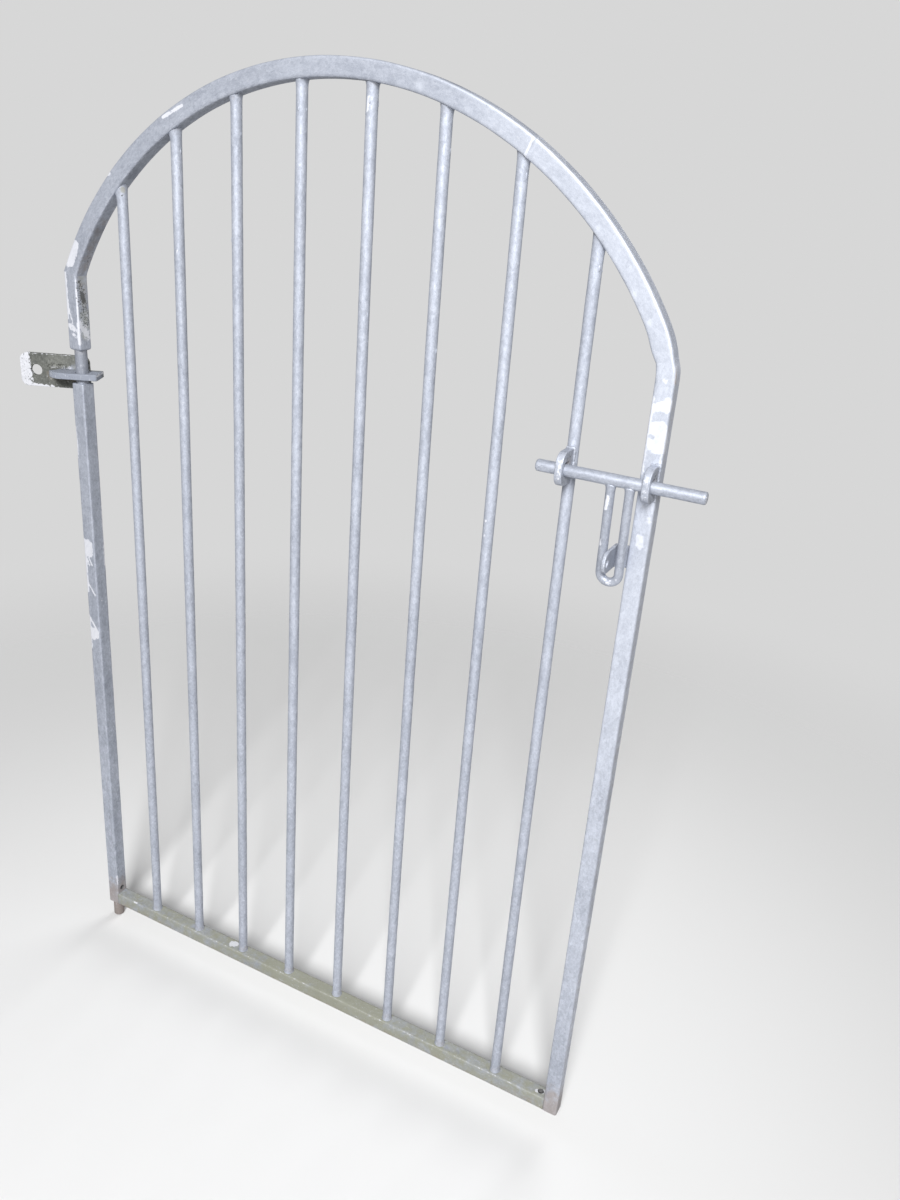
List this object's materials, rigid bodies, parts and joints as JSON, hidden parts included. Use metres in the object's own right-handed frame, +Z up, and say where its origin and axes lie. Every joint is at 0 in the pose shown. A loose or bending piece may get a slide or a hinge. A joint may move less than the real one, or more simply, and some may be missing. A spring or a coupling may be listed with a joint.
{
  "type": "arched garden gate leaf",
  "caption": "Arch-topped garden gate leaf of galvanised square tube and round bars, with a hinge bracket, a pivot pin and a slide bolt with a loop handle and padlock staple.",
  "frame": {"origin": "middle of the hinge plate's back face, the face that is bolted to a post", "axes": "+X along the leaf from the hinge stile to the latch stile, +Y to the back of the leaf, +Z up"},
  "size_m": [1.1625, 0.0859, 1.5935],
  "materials": {
    "galvanised_tube": "hot-dip galvanised, mottled",
    "galvanised_rail": "hot-dip galvanised, dulled with a green film",
    "galvanised_bar": "hot-dip galvanised",
    "galvanised_pin": "hot-dip galvanised, rubbed dull",
    "stained_pin": "hot-dip galvanised, stained with earth",
    "weathered_bracket": "weathered zinc, grey-green",
    "galvanised_bolt": "hot-dip galvanised, worn bright",
    "galvanised_fitting": "hot-dip galvanised"
  },
  "bodies": {
    "bracket": {"hinge_plate": "weathered_bracket", "hinge_tab": "weathered_bracket"},
    "leaf": {"hinge_stile_lower": "galvanised_tube", "hinge_stile_upper": "galvanised_tube", "hinge_journal_pin": "galvanised_pin", "bottom_pivot_pin": "stained_pin", "latch_stile": "galvanised_tube", "arch_bar": "galvanised_tube", "bottom_rail": "galvanised_rail", "infill_bar_1": "galvanised_bar", "infill_bar_2": "galvanised_bar", "infill_bar_3": "galvanised_bar", "infill_bar_4": "galvanised_bar", "infill_bar_5": "galvanised_bar", "infill_bar_6": "galvanised_bar", "infill_bar_7": "galvanised_bar", "infill_bar_8": "galvanised_bar", "bolt_guide_left": "galvanised_fitting", "bolt_guide_right": "galvanised_fitting", "padlock_staple": "galvanised_fitting"},
    "bolt": {"bolt_rod": "galvanised_bolt"},
    "handle": {"bolt_handle_loop": "galvanised_bolt"}
  },
  "joints": [
    {"name": "leaf_hinge", "type": "hinge", "parent": "bracket", "child": "leaf", "pos_m": [0.0601, -0.0011, 0.015], "axis": [0, 0, 1], "range_deg": [-150, 30]},
    {"name": "bolt_slide", "type": "slide", "parent": "leaf", "child": "bolt", "axis": [1, 0, 0], "range_m": [-0.05, 0]},
    {"name": "handle_turn", "type": "hinge", "parent": "bolt", "child": "handle", "pos_m": [1.0058, -0.0326, 0.014], "axis": [1, 0, 0], "range_deg": [-175, 0]}
  ],
  "couplings": [
    {"joint": "handle_turn", "follows": "bolt_slide", "rad_per_m": 61.087}
  ]
}
